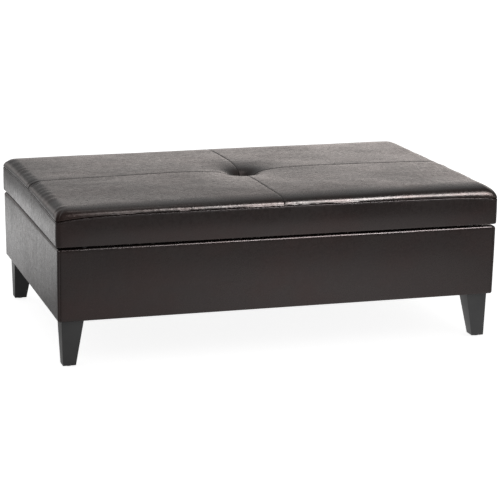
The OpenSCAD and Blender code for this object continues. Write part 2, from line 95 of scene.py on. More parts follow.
# Top rows of the lid's side band, from the seam past the top-stitch, as millimetres (out, down)
BAND_TOP = (
    (-3.6, 3.1),
    (-2.2, 2.9),
    (-0.6, 3.2),
    (0.0, 4.1),
    (0.15, 5.6),
    (0.05, 6.6),
    (-0.3, 7.3),
    (0.0, 8.0),
    (0.15, 9.5),
)
BAND_SWELL, BAND_PULL = 2.3 * MM, 0.35 * MM
STITCH_DROP, STITCH_PITCH, STITCH_END = 7.2 * MM, 4.8 * MM, 0.5 * MM
# The button's section, from its middle underneath to its middle on top, as shares of (radius, height)
BUTTON_PROFILE = (
    (0.0, 0.0),
    (0.7, 0.0),
    (0.93, 0.06),
    (1.0, 0.22),
    (0.97, 0.42),
    (0.86, 0.62),
    (0.68, 0.80),
    (0.46, 0.93),
    (0.22, 0.99),
    (0.02, 1.0),
)

SIDES = ("front", "right", "back", "left")
CORNER_ZONE = 34 * MM
LID_CORNER_R = 14 * MM
BOX_CORNER_R = 5 * MM
RIM_R = 5.5 * MM
INNER_RIM_R = 1.6 * MM
HEM_R = 4 * MM
CORNER_SEAM_IN = 6 * MM
BOX_PUFF = 3.2 * MM
# How far the padding pushes each corner out, as (left front, left back, right front, right back)
LID_FLARE = {(-1, -1): 1 * MM, (-1, 1): 7 * MM, (1, -1): 6 * MM, (1, 1): 4 * MM}
BOX_FLARE = {(-1, -1): 0 * MM, (-1, 1): 5 * MM, (1, -1): 3.5 * MM, (1, 1): 3 * MM}
FLARE_LEN = 70 * MM
FLARE_WAY = (0.87, 0.5)

# Colours of the leather: its own, where the dye is thin, and where it is worn
LEATHER_BROWN, LEATHER_RED = (0.0145, 0.0100, 0.0088), (0.030, 0.0135, 0.0110)
LEATHER_WORN = (0.019, 0.0145, 0.0130)

# Camera: place, aim, focal length in millimetres and roll
CAMERA_AT, CAMERA_AIM = (-1.5452, -5.0462, 1.4515), (0.0284, 0.0, 0.2003)
CAMERA_LENS, CAMERA_ROLL = 130.56, math.radians(-0.775)

# Brightness of the studio, and the directions of its two glows behind the object
WALL_GLOW, FRONT_GLOW, CEILING_GLOW = 0.26, 0.26, 0.42
BACK_GLOW, BACK_GLOW_AT = (1.27, 1.14, 1.08), (0.5, 0.87, 0.05)
LEFT_GLOW, LEFT_GLOW_AT = (0.62, 0.58, 0.56), (-0.40, 0.92, 0.02)
FLOOR_HALF = 400
FLOOR_GLOW, FLOOR_SEEN = 0.10, 0.85
# Glow patches of the floor, in front and behind to the left, as (centre, reach in metres, strength)
FLOOR_PATCHES = (((0.3, -0.95, 0.0), 1.5, 0.8), ((-0.83, 1.42, 0.0), 1.18, 0.80))

# ---------------------------------------------------------------- numbers


def lattice(i, j, seed):
    """A fixed number from -1 to 1 for each whole-number grid point."""
    h = (i * 374761393 + j * 668265263 + seed * 974711) & 0xFFFFFFFF
    h = ((h ^ (h >> 13)) * 1274126177) & 0xFFFFFFFF
    return ((h ^ (h >> 16)) & 0xFFFFFF) / 0x7FFFFF - 1.0


def noise(seed, u, v=0.0):
    """Smooth noise from -1 to 1, with cells of one unit."""
    u, v = np.broadcast_arrays(np.asarray(u, float), np.asarray(v, float))
    i, j = np.floor(u).astype(np.int64), np.floor(v).astype(np.int64)
    fu, fv = u - i, v - j
    su, sv = fu * fu * (3 - 2 * fu), fv * fv * (3 - 2 * fv)
    low = lattice(i, j, seed) * (1 - su) + lattice(i + 1, j, seed) * su
    high = lattice(i, j + 1, seed) * (1 - su) + lattice(i + 1, j + 1, seed) * su
    return low * (1 - sv) + high * sv


def hump(d, middle, reach):
    """1 at the middle, falling smoothly to 0."""
    return np.exp(-(((d - middle) / reach) ** 2))


def quarter_turn(count):
    """Angles of a rounded edge, from 0 to a right angle."""
    return np.linspace(0, math.pi / 2, count)


def unit(v):
    return v / np.maximum(np.linalg.norm(v, axis=-1, keepdims=True), 1e-12)


def grid_normals(p):
    """Normals of a grid of points, shape (n, m, 3)."""
    return unit(np.cross(np.gradient(p, axis=0), np.gradient(p, axis=1)))


# ---------------------------------------------------------------- meshes


def grid_quads(nu, nv, close_u=False):
    """Faces of a grid of nu by nv points, counted row by row."""
    i = np.arange(nu if close_u else nu - 1)
    j = np.arange(nv - 1)
    a = (i[:, None] * nv + j).ravel()
    b = (((i + 1) % nu)[:, None] * nv + j).ravel()
    return np.stack([a, b, b + 1, a + 1], 1)


def new_piece(name, points, faces, material, body, sharp_deg=50, weld=0.0):
    mesh = bpy.data.meshes.new(name)
    faces = faces.tolist() if isinstance(faces, np.ndarray) else faces
    mesh.from_pydata(np.asarray(points, float).reshape(-1, 3).tolist(), [], faces)
    if weld:
        b = bmesh.new()
        b.from_mesh(mesh)
        bmesh.ops.remove_doubles(b, verts=b.verts, dist=weld)
        b.to_mesh(mesh)
        b.free()
    mesh.shade_smooth()
    mesh.set_sharp_from_angle(angle=math.radians(sharp_deg))
    mesh.materials.append(material)
    piece = bpy.data.objects.new(name, mesh)
    bpy.context.scene.collection.objects.link(piece)
    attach(piece, body)
    return piece


def thicken(piece):
    """Gives a sheet the thickness of the leather, inwards."""
    solid = piece.modifiers.new("thickness", "SOLIDIFY")
    solid.thickness = LEATHER
    solid.offset = -1


def capsules(starts, ends, ups, radius, sides=6):
    """Points and faces of many short threads, each a capsule from start to end."""
    starts, ends, ups = (np.asarray(a, float) for a in (starts, ends, ups))
    along = ends - starts
    side = unit(np.cross(along, ups))
    up = unit(np.cross(side, along))
    rings = [(0.0, 0.25), (0.15, 0.85), (0.5, 1.0), (0.85, 0.85), (1.0, 0.25)]
    turn = np.arange(sides) * 2 * math.pi / sides
    points = []
    for t, r in rings:
        centre = starts + along * t
        ring = side[:, None] * np.cos(turn)[:, None] + up[:, None] * np.sin(turn)[:, None]
        points.append(centre[:, None] + ring * radius * r)
    points = np.stack(points, 1).reshape(len(starts), -1, 3)
    faces = []
    for k in range(len(rings) - 1):
        for s in range(sides):
            n = (s + 1) % sides
            faces.append([k * sides + s, k * sides + n, (k + 1) * sides + n, (k + 1) * sides + s])
    last = (len(rings) - 1) * sides
    caps = [list(range(sides))[::-1], [last + s for s in range(sides)]]
    per = len(rings) * sides
    every = []
    for c in range(len(starts)):
        every += [[i + c * per for i in f] for f in faces + caps]
    return points.reshape(-1, 3), every


# ---------------------------------------------------------------- materials


def new_material(name):
    material = bpy.data.materials.new(name)
    material.use_nodes = True
    tree = material.node_tree
    shader = next(n for n in tree.nodes if n.type == "BSDF_PRINCIPLED")
    return material, tree, shader


def node(tree, kind, settings=None, **inputs):
    made = tree.nodes.new(kind)
    for key, value in (settings or {}).items():
        setattr(made, key, value)
    for key, value in inputs.items():
        socket = made.inputs[key.replace("_", " ")]
        if isinstance(value, bpy.types.NodeSocket):
            tree.links.new(value, socket)
        else:
            socket.default_value = value
    return made


def place(tree, scale=(1, 1, 1), turn=(0, 0, 0)):
    """Object coordinates, in metres, stretched by scale."""
    spot = node(tree, "ShaderNodeTexCoord").outputs["Object"]
    return node(tree, "ShaderNodeMapping", Vector=spot, Scale=scale, Rotation=turn).outputs["Vector"]


def noise_at(tree, vector, scale, detail=3.0, rough=0.55):
    made = node(tree, "ShaderNodeTexNoise", Vector=vector, Scale=scale, Detail=detail, Roughness=rough)
    return made.outputs["Fac"]


def ramp(tree, factor, low, high, a, b):
    """A colour or grey from a to b as factor goes from low to high."""
    made = node(tree, "ShaderNodeValToRGB", Fac=factor)
    made.color_ramp.elements[0].position, made.color_ramp.elements[1].position = low, high
    for element, value in zip(made.color_ramp.elements, (a, b)):
        element.color = (*value, 1) if isinstance(value, tuple) else (value, value, value, 1)
    return made.outputs["Color"]


def mixed(tree, factor, a, b, blend="MIX"):
    made = node(tree, "ShaderNodeMix", {"data_type": "RGBA", "blend_type": blend})
    for index, value in ((0, factor), (6, a), (7, b)):
        if isinstance(value, bpy.types.NodeSocket):
            tree.links.new(value, made.inputs[index])
        else:
            made.inputs[index].default_value = (*value, 1) if isinstance(value, tuple) else value
    return made.outputs[2]


def bumps(tree, shader, *layers):
    """Stacks (height, strength, distance) bump layers on the shader's normal."""
    last = None
    for height, strength, distance in layers:
        made = node(tree, "ShaderNodeBump", Height=height, Strength=strength, Distance=distance)
        if last is not None:
            tree.links.new(last, made.inputs["Normal"])
        last = made.outputs["Normal"]
    tree.links.new(last, shader.inputs["Normal"])


def leather(name, rough, red_share, tint, upright=0.0):
    """Bonded leather: fine grain, creases, a cloudy sheen, and reddish patches where the dye is thin.

    tint is the green and blue of its reflections, and upright the strength of its upright creases.
    """
    material, tree, shader = new_material(name)
    spot = place(tree)
    cells = node(
        tree, "ShaderNodeTexVoronoi", {"feature": "SMOOTH_F1"}, Vector=spot, Scale=620.0, Smoothness=0.6
    ).outputs["Distance"]
    fine = noise_at(tree, spot, 1300.0, 2.0)
    creases = noise_at(tree, spot, 160.0, 5.0, 0.62)
    upright_creases = noise_at(tree, place(tree, (1, 1, 0.12)), 190.0, 3.0)
    rumples = noise_at(tree, spot, 38.0, 5.0, 0.6)
    streaks = noise_at(tree, spot, 80.0, 6.0, 0.72)
    patches = noise_at(tree, spot, 4.0, 4.0, 0.6)
    red = noise_at(tree, place(tree, (6, 8, 9)), 1.0, 4.0, 0.6)
    tone = mixed(tree, ramp(tree, red, 0.48, 0.72, 0.0, red_share), LEATHER_BROWN, LEATHER_RED)
    tone = mixed(tree, ramp(tree, patches, 0.4, 0.7, 0.0, 0.5), tone, LEATHER_WORN)
    tree.links.new(tone, shader.inputs["Base Color"])
    sheen = mixed(tree, 0.65, patches, streaks)
    tree.links.new(ramp(tree, sheen, 0.38, 0.62, *rough), shader.inputs["Roughness"])
    shader.inputs["Specular IOR Level"].default_value = 0.45
    plain = (1.0, *tint)
    warm = (1.0, tint[0] - 0.15 * red_share, tint[1] - 0.17 * red_share)
    tree.links.new(ramp(tree, red, 0.42, 0.64, plain, warm), shader.inputs["Specular Tint"])
    bumps(
        tree,
        shader,
        (upright_creases, upright, 0.5 * MM),
        (rumples, 0.13, 1.2 * MM),
        (creases, 0.36, 0.6 * MM),
        (cells, 0.26, 0.25 * MM),
        (fine, 0.12, 0.12 * MM),
    )
    return material


def thread_material():
    material, tree, shader = new_material("thread_brown")
    twist = node(
        tree, "ShaderNodeTexWave", {"bands_direction": "DIAGONAL"}, Vector=place(tree), Scale=500.0
    ).outputs["Fac"]
    tone = ramp(tree, twist, 0.2, 0.8, (0.010, 0.007, 0.006), (0.028, 0.020, 0.017))
    tree.links.new(tone, shader.inputs["Base Color"])
    shader.inputs["Roughness"].default_value = 0.6
    bumps(tree, shader, (twist, 0.5, 0.1 * MM))
    return material


def black_lacquer():
    material, tree, shader = new_material("black_lacquered_wood")
    pores = noise_at(tree, place(tree, (900, 900, 25)), 1.0, 4.0, 0.65)
    cloud = noise_at(tree, place(tree), 18.0, 3.0)
    tone = ramp(tree, cloud, 0.3, 0.7, (0.023, 0.023, 0.024), (0.033, 0.032, 0.032))
    tree.links.new(tone, shader.inputs["Base Color"])
    tree.links.new(ramp(tree, pores, 0.3, 0.7, 0.30, 0.44), shader.inputs["Roughness"])
    bumps(tree, shader, (pores, 0.12, 0.15 * MM), (cloud, 0.03, 0.5 * MM))
    return material


def raw_wood(name, pale, deep, rings):
    """Sawn wood with its grain along X."""
    material, tree, shader = new_material(name)
    grain = node(
        tree,
        "ShaderNodeTexWave",
        {"bands_direction": "Z"},
        Vector=place(tree, (0.6, 9, 9)),
        Scale=rings,
        Distortion=6.0,
        Detail=3.0,
    ).outputs["Fac"]
    pores = noise_at(tree, place(tree, (40, 900, 900)), 1.0, 4.0)
    tone = mixed(tree, ramp(tree, grain, 0.2, 0.9, 0.0, 1.0), pale, deep)
    tone = mixed(tree, ramp(tree, pores, 0.35, 0.8, 0.0, 0.35), tone, (0.25, 0.16, 0.09))
    tree.links.new(tone, shader.inputs["Base Color"])
    tree.links.new(ramp(tree, pores, 0.3, 0.7, 0.55, 0.8), shader.inputs["Roughness"])
    bumps(tree, shader, (pores, 0.3, 0.2 * MM))
    return material


def woven_cloth(name, colour, pale, pitch=0.9 * MM):
    """Plain weave, pitch apart, with a little fuzz."""
    material, tree, shader = new_material(name)
    waves = [
        node(
            tree, "ShaderNodeTexWave", {"bands_direction": axis}, Vector=place(tree), Scale=0.5 / pitch
        ).outputs["Fac"]
        for axis in "XYZ"
    ]
    weave = mixed(tree, 1.0, mixed(tree, 1.0, waves[0], waves[1], "DIFFERENCE"), waves[2], "DIFFERENCE")
    fuzz = noise_at(tree, place(tree), 900.0, 3.0)
    cloud = noise_at(tree, place(tree), 9.0, 3.0)
    tone = mixed(tree, ramp(tree, weave, 0.2, 0.8, 0.0, 1.0), colour, pale)
    tone = mixed(tree, ramp(tree, cloud, 0.3, 0.7, 0.0, 0.3), tone, pale)
    tree.links.new(tone, shader.inputs["Base Color"])
    tree.links.new(ramp(tree, fuzz, 0.3, 0.7, 0.75, 0.95), shader.inputs["Roughness"])
    shader.inputs["Sheen Weight"].default_value = 0.25
    shader.inputs["Sheen Roughness"].default_value = 0.6
    bumps(tree, shader, (weave, 0.35, 0.2 * MM), (fuzz, 0.2, 0.15 * MM))
    return material


def soft_fill(name, colour, shade, scale, strength):
    """Wadding, foam or twine: matt, with an open texture."""
    material, tree, shader = new_material(name)
    cells = node(tree, "ShaderNodeTexVoronoi", Vector=place(tree), Scale=scale).outputs["Distance"]
    cloud = noise_at(tree, place(tree), 25.0, 4.0)
    tone = mixed(tree, ramp(tree, cells, 0.1, 0.7, 0.0, 1.0), shade, colour)
    tone = mixed(tree, ramp(tree, cloud, 0.35, 0.7, 0.0, 0.3), tone, shade)
    tree.links.new(tone, shader.inputs["Base Color"])
    shader.inputs["Roughness"].default_value = 0.95
    bumps(tree, shader, (cells, strength, 0.5 * MM), (cloud, 0.2, 1 * MM))
    return material


def zinc_steel():
    material, tree, shader = new_material("zinc_plated_steel")
    brushed = noise_at(tree, place(tree, (60, 900, 900)), 1.0, 4.0)
    spangle = noise_at(tree, place(tree), 70.0, 3.0)
    tone = ramp(tree, spangle, 0.3, 0.7, (0.42, 0.42, 0.41), (0.62, 0.61, 0.57))
    tree.links.new(tone, shader.inputs["Base Color"])
    shader.inputs["Metallic"].default_value = 1.0
    tree.links.new(ramp(tree, brushed, 0.3, 0.7, 0.26, 0.42), shader.inputs["Roughness"])
    bumps(tree, shader, (brushed, 0.1, 0.05 * MM))
    return material


def black_plastic(name, rough):
    material, tree, shader = new_material(name)
    grain = noise_at(tree, place(tree), 1400.0, 2.0)
    cloud = noise_at(tree, place(tree), 60.0, 2.0)
    tone = ramp(tree, cloud, 0.3, 0.7, (0.012, 0.012, 0.012), (0.024, 0.024, 0.024))
    tree.links.new(tone, shader.inputs["Base Color"])
    tree.links.new(ramp(tree, grain, 0.3, 0.7, rough, rough + 0.15), shader.inputs["Roughness"])
    bumps(tree, shader, (grain, 0.25, 0.1 * MM))
    return material


TOP_LEATHER = leather("leather_top", (0.19, 0.34), 0.8, (0.93, 0.91))
SIDE_LEATHER = leather("leather_sides", (0.20, 0.34), 0.4, (0.90, 0.90), 0.35)
BUTTON_LEATHER = leather("leather_button", (0.36, 0.50), 0.8, (0.93, 0.91))
THREAD = thread_material()
LACQUER = black_lacquer()
FRAME_WOOD = raw_wood("frame_softwood", (0.62, 0.47, 0.29), (0.47, 0.31, 0.16), 5.0)
PLYWOOD = raw_wood("plywood_face", (0.66, 0.52, 0.34), (0.55, 0.39, 0.22), 2.5)
LINING = woven_cloth("lining_cloth", (0.018, 0.018, 0.020), (0.050, 0.050, 0.054))
WADDING = soft_fill("wadding_felt", (0.82, 0.82, 0.80), (0.62, 0.62, 0.60), 500.0, 0.6)
FOAM = soft_fill("cushion_foam", (0.84, 0.76, 0.52), (0.70, 0.60, 0.36), 900.0, 0.8)
TWINE = soft_fill("waxed_twine", (0.62, 0.56, 0.45), (0.42, 0.37, 0.29), 1500.0, 0.5)
STEEL = zinc_steel()
RUBBER = black_plastic("bumper_rubber", 0.7)
GLIDE = black_plastic("glide_plastic", 0.45)

CARRIED_OVER = {
    "frame_wood": FRAME_WOOD,
    "plywood": PLYWOOD,
    "lining_cloth": LINING,
    "wadding": WADDING,
    "foam": FOAM,
    "twine": TWINE,
    "zinc_steel": STEEL,
    "rubber": RUBBER,
    "glide_plastic": GLIDE,
    "leather": SIDE_LEATHER,
    "leg_finish": LACQUER,
}


def dress_cad_nodes():
    """Gives every CAD node the procedural material of its slot in the record."""
    slots = {row["node"]: row["material_slot"] for row in frame["record"]["subparts"]}
    for name, cad in frame["nodes"].items():
        cad.data.materials.clear()
        cad.data.materials.append(CARRIED_OVER[slots[name]])


# ---------------------------------------------------------------- the pad


def roll_section(slopes, samples=601):
    """A rounded edge's section as depths and heights, each from 0 at the seam to 1."""
    share, slope = np.array(slopes).T
    angle = np.radians(np.interp(np.linspace(0, 1, samples), share, slope))
    middle = (angle[1:] + angle[:-1]) / 2
    depth, height = (np.concatenate([[0], np.cumsum(way(middle))]) for way in (np.cos, np.sin))
    return depth / depth[-1], height / height[-1]


END_SECTION, ROLL_SECTION = roll_section(END_SLOPES), roll_section(ROLL_SLOPES)


def roll_at(x, y):
    """From 0 at the boundary seam to 1 on the flat of the pad."""
    end = np.interp((LID_X - np.abs(x)) / ROLL_W_X, *END_SECTION)
    width = ROLL_W_Y * (1 + FRONT_ROLL_SPREAD * x / LID_X * (y < 0))
    return end * np.interp((LID_Y - np.abs(y)) / width, *ROLL_SECTION)


def seam_at(x, y):
    fade = np.exp(-(LID_X - np.abs(x)) / DIP_LEN)
    dip = SEAM_DIP + FRONT_LEFT_DIP * (1 - x / LID_X) * (1 - y / LID_Y) / 4
    return SEAM_Z - dip * fade + SIDE_BOW * np.cos(math.pi / 2 * y / LID_Y) ** 2 * fade


def top_at(x, y):
    r = np.hypot(x, y)
    seam = seam_at(x, y)
    pad = SEAM_Z + ROLL_H + CROWN_H * (1 - (x / LID_X) ** 2) * (1 - (y / LID_Y) ** 2) + LEAN * x / LID_X
    tuft = TUFT_CORE * np.exp(-((r / TUFT_CORE_R) ** 2)) + TUFT_WIDE * np.exp(-r / TUFT_WIDE_R)
    return seam + (pad - seam) * roll_at(x, y) - tuft


def flare(x, y, half_x, half_y, pushes):
    """Plan shift, outwards along each diagonal, that fades away from the corners."""
    shift = np.zeros(np.shape(x) + (2,))
    for (sx, sy), push in pushes.items():
        away = np.hypot(x - sx * half_x, y - sy * half_y)
        shift += (push * np.exp(-away / FLARE_LEN))[..., None] * [FLARE_WAY[0] * sx, FLARE_WAY[1] * sy]
    return shift


def round_corner(x, y):
    """Moves points of the +X +Y quarter so that the outline's corner gets its radius."""
    p = np.clip((x - (LID_X - CORNER_ZONE)) / CORNER_ZONE, 0, 1)
    q = np.clip((y - (LID_Y - CORNER_ZONE)) / CORNER_ZONE, 0, 1)
    m = np.maximum(p, q)
    r = np.maximum(LID_CORNER_R / CORNER_ZONE * m**3, 1e-9)
    s = np.abs(p - q)
    turn = math.pi / 4 * (1 - np.clip(s / r, 0, 1))
    major, minor = m - r + r * np.cos(turn), m - r + r * np.sin(turn)
    near = (s < r) & (p > 0) & (q > 0)
    new_p = np.where(near, np.where(p >= q, major, minor), p)
    new_q = np.where(near, np.where(p >= q, minor, major), q)
    return (
        np.where(near, LID_X - CORNER_ZONE + new_p * CORNER_ZONE, x),
        np.where(near, LID_Y - CORNER_ZONE + new_q * CORNER_ZONE, y),
    )


def pad_lines(half, roll_w, section, step=3.4 * MM):
    """Grid lines from the cross seam to the edge: fine in the seam and over the rounded edge."""
    seam = np.array(SEAM_LINES) * MM
    middle = np.linspace(seam[-1], half - roll_w, int((half - roll_w) / step))[1:]
    edge = half - roll_w * section[0][::-20][1:]
    return np.concatenate([seam, middle, edge])


def gathers(s, seed):
    """Irregular small folds along a seam, from 0 to 1."""
    wide = 1 - np.abs(noise(seed, s / (26 * MM)))
    narrow = 1 - np.abs(noise(seed + 1, s / (11 * MM)))
    where = np.clip(0.55 + 0.9 * noise(seed + 2, s / (95 * MM)), 0, 1)
    return where * (0.45 * wide**3 + 0.55 * narrow**2)


def end_folds(s, seed):
    """Soft uneven folds across an end roll, about 46 mm apart, from 0 to 1."""
    wander = s / (46 * MM) + 1.1 * noise(seed, s / (85 * MM))
    depth = np.clip(0.5 + 0.7 * noise(seed + 1, s / (60 * MM)), 0, 1)
    return depth * (0.5 + 0.5 * np.cos(2 * math.pi * wander))


def pad_relief(x, y, sx, sy):
    """How far the leather stands out from the plain shape, along its normal."""
    dx, dy = LID_X - x, LID_Y - y
    wx, wy = x * sx, y * sy
    off_corner = 1 - hump(np.hypot(dx, dy), 0, 30 * MM)
    near_end = hump(dx, 16 * MM, 13 * MM) * off_corner
    near_front = hump(dy, 5 * MM, 13 * MM) * off_corner
    relief = END_FOLD * (end_folds(wy, 15 + sx) - 0.3) * near_end
    relief += END_GATHER * (gathers(wy, 11 + sx) - 0.35) * near_end
    relief += FRONT_GATHER * (gathers(wx, 31 + sy) - 0.35) * near_front
    # ripples along the cross seams
    relief += SEAM_RIPPLE * noise(51, wy / (18 * MM)) * np.exp(-x / (9 * MM))
    relief += SEAM_RIPPLE * noise(52, wx / (18 * MM)) * np.exp(-y / (9 * MM))
    # puckers where the cross seam meets the end rolls, and a tuck at each corner
    end_of_seam = hump(dx, 12 * MM, 16 * MM)
    relief -= SEAM_PUCKER * end_of_seam * hump(y, 0, 5 * MM)
    relief -= SIDE_PUCKER * end_of_seam * hump(y, 24 * MM, 6 * MM)
    across = (dx - 0.8 * dy) / (6 * MM)
    relief -= CORNER_TUCK * np.exp(-(across**2) - (np.hypot(dx, dy) / (34 * MM)) ** 4)
    # unevenness of the pad
    relief += SLOW_WAVE * noise(61, wx / (190 * MM), wy / (130 * MM))
    relief += SMALL_WAVE * noise(62, wx / (60 * MM), wy / (42 * MM))
    # pleats running into the tuft
    r, turn = np.hypot(x, y), np.arctan2(wy, wx)
    return relief + TUFT_PLEAT * noise(71, turn * 2.2) * hump(r, 30 * MM, 18 * MM)


def seam_valley(d):
    """Depth of the cross seam at a distance from it."""
    return 1.5 * MM * np.exp(-d / (1.0 * MM)) + 0.5 * MM * np.exp(-d / (6 * MM))


def seam_shift(x, y):
    """How far the leather is pulled along X, so that the front-to-back seam isn't quite straight."""
    return SEAM_SKEW * np.sin(math.pi * y / LID_Y) * np.exp(-np.abs(x) / (120 * MM))


def outline_offset(path, inwards):
    """A plan path moved inwards, on the side that the centre is on."""
    tangent = unit(np.gradient(path, axis=0))
    normal = np.stack([tangent[:, 1], -tangent[:, 0]], 1)
    flip = np.sign(np.sum(normal * path, 1, keepdims=True))
    return path - normal * flip * inwards


def top_quarter(name, sx, sy, hidden=()):
    """One leather panel of the pad, from the cross seams to the boundary seam and into it."""
    lines = pad_lines(LID_X, ROLL_W_X, END_SECTION), pad_lines(LID_Y, ROLL_W_Y, ROLL_SECTION)
    x, y = np.meshgrid(*lines, indexing="ij")
    z = top_at(x * sx, y * sy) - seam_valley(x) - seam_valley(y)
    px, py = round_corner(x, y)
    points = np.stack([px, py, z], 2)
    normal = grid_normals(points)
    # the roll overhangs the boxing a little, above the seam
    low = roll_at(x * sx, y * sy)
    bulge = 1.0 * MM * np.sin(math.pi * np.clip(low / 0.85, 0, 1))
    points += normal * (pad_relief(x, y, sx, sy) * (low > 0) + bulge)[..., None]
    points[..., 0] += sx * seam_shift(x, y * sy)
    points[..., :2] += flare(x * sx, y * sy, LID_X, LID_Y, LID_FLARE) * [sx, sy]
    # tucked rows under the boundary seam
    nx, ny = x.shape
    rim = [(nx - 1) * ny + j for j in range(ny)] + [i * ny + ny - 1 for i in range(nx - 2, -1, -1)]
    flat = points.reshape(-1, 3)
    edge = flat[rim]
    rows = []
    for inwards, drop in ((0.5, 0.7), (1.6, 1.1), (3.4, 1.2)):
        plan = outline_offset(edge[:, :2], inwards * MM)
        rows.append(np.column_stack([plan, edge[:, 2] - drop * MM]))
    flat = np.concatenate([flat, *rows])
    faces = [grid_quads(nx, ny)]
    start, count = nx * ny, len(rim)
    above = np.array(rim)
    for _ in rows:
        below = np.arange(start, start + count)
        faces.append(np.stack([above[:-1], below[:-1], below[1:], above[1:]], 1))
        above, start = below, start + count
    faces = np.concatenate(faces)
    flat = flat * [sx, sy, 1]
    if sx * sy < 0:
        faces = faces[:, ::-1]
    piece = new_piece(name, flat, faces, TOP_LEATHER, "lid", 60)
    thicken(piece)
    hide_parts(name.replace("_panel", ""), *hidden)
    return piece


def lid_outline(step=3.5 * MM):
    """Points round the lid, as (seam parameter, plan place, outward normal), counter-clockwise."""
    close = 12 * MM
    quarter_x, quarter_y = (
        np.concatenate([np.arange(0, half - close, step), np.linspace(half - close, half, 12)])
        for half in (LID_X, LID_Y)
    )
    up = np.stack([np.full(len(quarter_y), LID_X), quarter_y], 1)
    across = np.stack([quarter_x[::-1][1:], np.full(len(quarter_x) - 1, LID_Y)], 1)
    one = np.concatenate([up, across])
    parts = [one, one[::-1][1:] * [-1, 1], one[1:] * [-1, -1], one[::-1][1:-1] * [1, -1]]
    seam = np.concatenate(parts)
    px, py = round_corner(np.abs(seam[:, 0]), np.abs(seam[:, 1]))
    plan = np.stack([px * np.sign(seam[:, 0] + 1e-12), py * np.sign(seam[:, 1] + 1e-12)], 1)
    plan += flare(seam[:, 0], seam[:, 1], LID_X, LID_Y, LID_FLARE)
    tangent = unit(np.roll(plan, -1, 0) - np.roll(plan, 1, 0))
    return seam, plan, np.stack([tangent[:, 1], -tangent[:, 0]], 1)


def lid_boxing():
    """The leather band round the lid's side: into the seam, past the top-stitch, down and under."""
    seam, plan, out = lid_outline()
    seam_z = seam_at(seam[:, 0], seam[:, 1])
    along = np.where(np.abs(seam[:, 0]) > LID_X - 1e-6, seam[:, 1], seam[:, 0])
    pull = BAND_PULL * (gathers(along, 41) - 0.4)
    from_corner = np.maximum(LID_X - np.abs(seam[:, 0]), LID_Y - np.abs(seam[:, 1]))
    open_side = 1 - np.exp(-from_corner / (60 * MM))
    rows = [(o * MM + pull * (k > 2), seam_z - d * MM) for k, (o, d) in enumerate(BAND_TOP)]
    face_top, face_low = rows[-1][1], LID_Z + HEM_R
    for t in np.linspace(0, 1, 22)[1:]:
        z = face_top + (face_low - face_top) * t
        swell = 0.15 * MM * (1 - t) + BAND_SWELL * math.sin(math.pi * t) * open_side
        waves = 0.35 * MM * noise(81, along / (70 * MM), z / (60 * MM))
        waves += 0.22 * MM * noise(82, along / (16 * MM), z / (110 * MM))
        rows.append((swell + waves * math.sin(math.pi * t) ** 0.5 + pull * (1 - t) ** 4, z))
    for turn in quarter_turn(6)[1:]:
        rows.append((-HEM_R * (1 - math.cos(turn)), LID_Z + HEM_R * (1 - math.sin(turn))))
    rows += [(-9 * MM, LID_Z), (-LID_FLAP + 0.6 * MM, LID_Z), (-LID_FLAP, LID_Z + 0.5 * MM)]
    points = []
    for offset, z in rows:
        offset = np.broadcast_to(offset, len(plan))
        place_at = plan + out * offset[:, None]
        # inside the corners the band folds together, and doesn't cross itself
        limit = np.stack([LID_X + np.minimum(offset, 0), LID_Y + np.minimum(offset, 0)], 1) + 4 * MM
        deep = offset < -LID_CORNER_R * 0.6
        place_at = np.where(deep[:, None], np.clip(place_at, -limit, limit), place_at)
        points.append(np.column_stack([place_at, np.broadcast_to(z, len(plan))]))
    points = np.stack(points, 1)
    faces = grid_quads(points.shape[0], points.shape[1], close_u=True)[:, ::-1]
    piece = new_piece("lid_boxing_band", points, faces, SIDE_LEATHER, "lid", 60, 0.05 * MM)
    thicken(piece)
    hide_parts("boxing_front", "boxing_back", "boxing_left", "boxing_right", "lid_wadding")
    return piece


def top_stitching():
    """The visible stitches on the band, just below the boundary seam."""
    seam, plan, out = lid_outline(1 * MM)
    z = seam_at(seam[:, 0], seam[:, 1]) - STITCH_DROP
    line = np.column_stack([plan + out * 0.1 * MM, z])
    run = np.concatenate([[0], np.cumsum(np.linalg.norm(np.diff(line, axis=0), axis=1))])
    pitch = run[-1] / round(run[-1] / STITCH_PITCH)
    starts = np.arange(0, run[-1] - pitch / 2, pitch)

    def at(s):
        return np.stack([np.interp(s, run, line[:, k]) for k in range(3)], 1)

    normals = np.stack([np.interp(starts, run, out[:, k]) for k in range(2)] + [starts * 0], 1)
    begin, finish = at(starts + STITCH_END), at(starts + pitch - STITCH_END)
    points, faces = capsules(begin, finish, normals, 0.45 * MM)
    return new_piece("lid_top_stitching", points, faces, THREAD, "lid", 80)


def seam_stitching():
    """Thread lying in the two cross seams, from near the button to near the edges."""
    starts, ends = [], []
    for axis, half in ((0, LID_X), (1, LID_Y)):
        for sign in (-1, 1):
            for near in np.arange(40 * MM, half - 8 * MM, 4 * MM):
                for v, points in ((near, starts), (near + 2.8 * MM, ends)):
                    spot = np.zeros(2)
                    spot[axis] = sign * v
                    depth = seam_valley(0.0) + seam_valley(v) - 0.5 * MM
                    points.append([spot[0] + seam_shift(*spot), spot[1], float(top_at(*spot)) - depth])
    points, faces = capsules(starts, ends, [[0, 0, 1]] * len(starts), 0.4 * MM)
    return new_piece("cross_seam_stitching", points, faces, THREAD, "lid", 80)


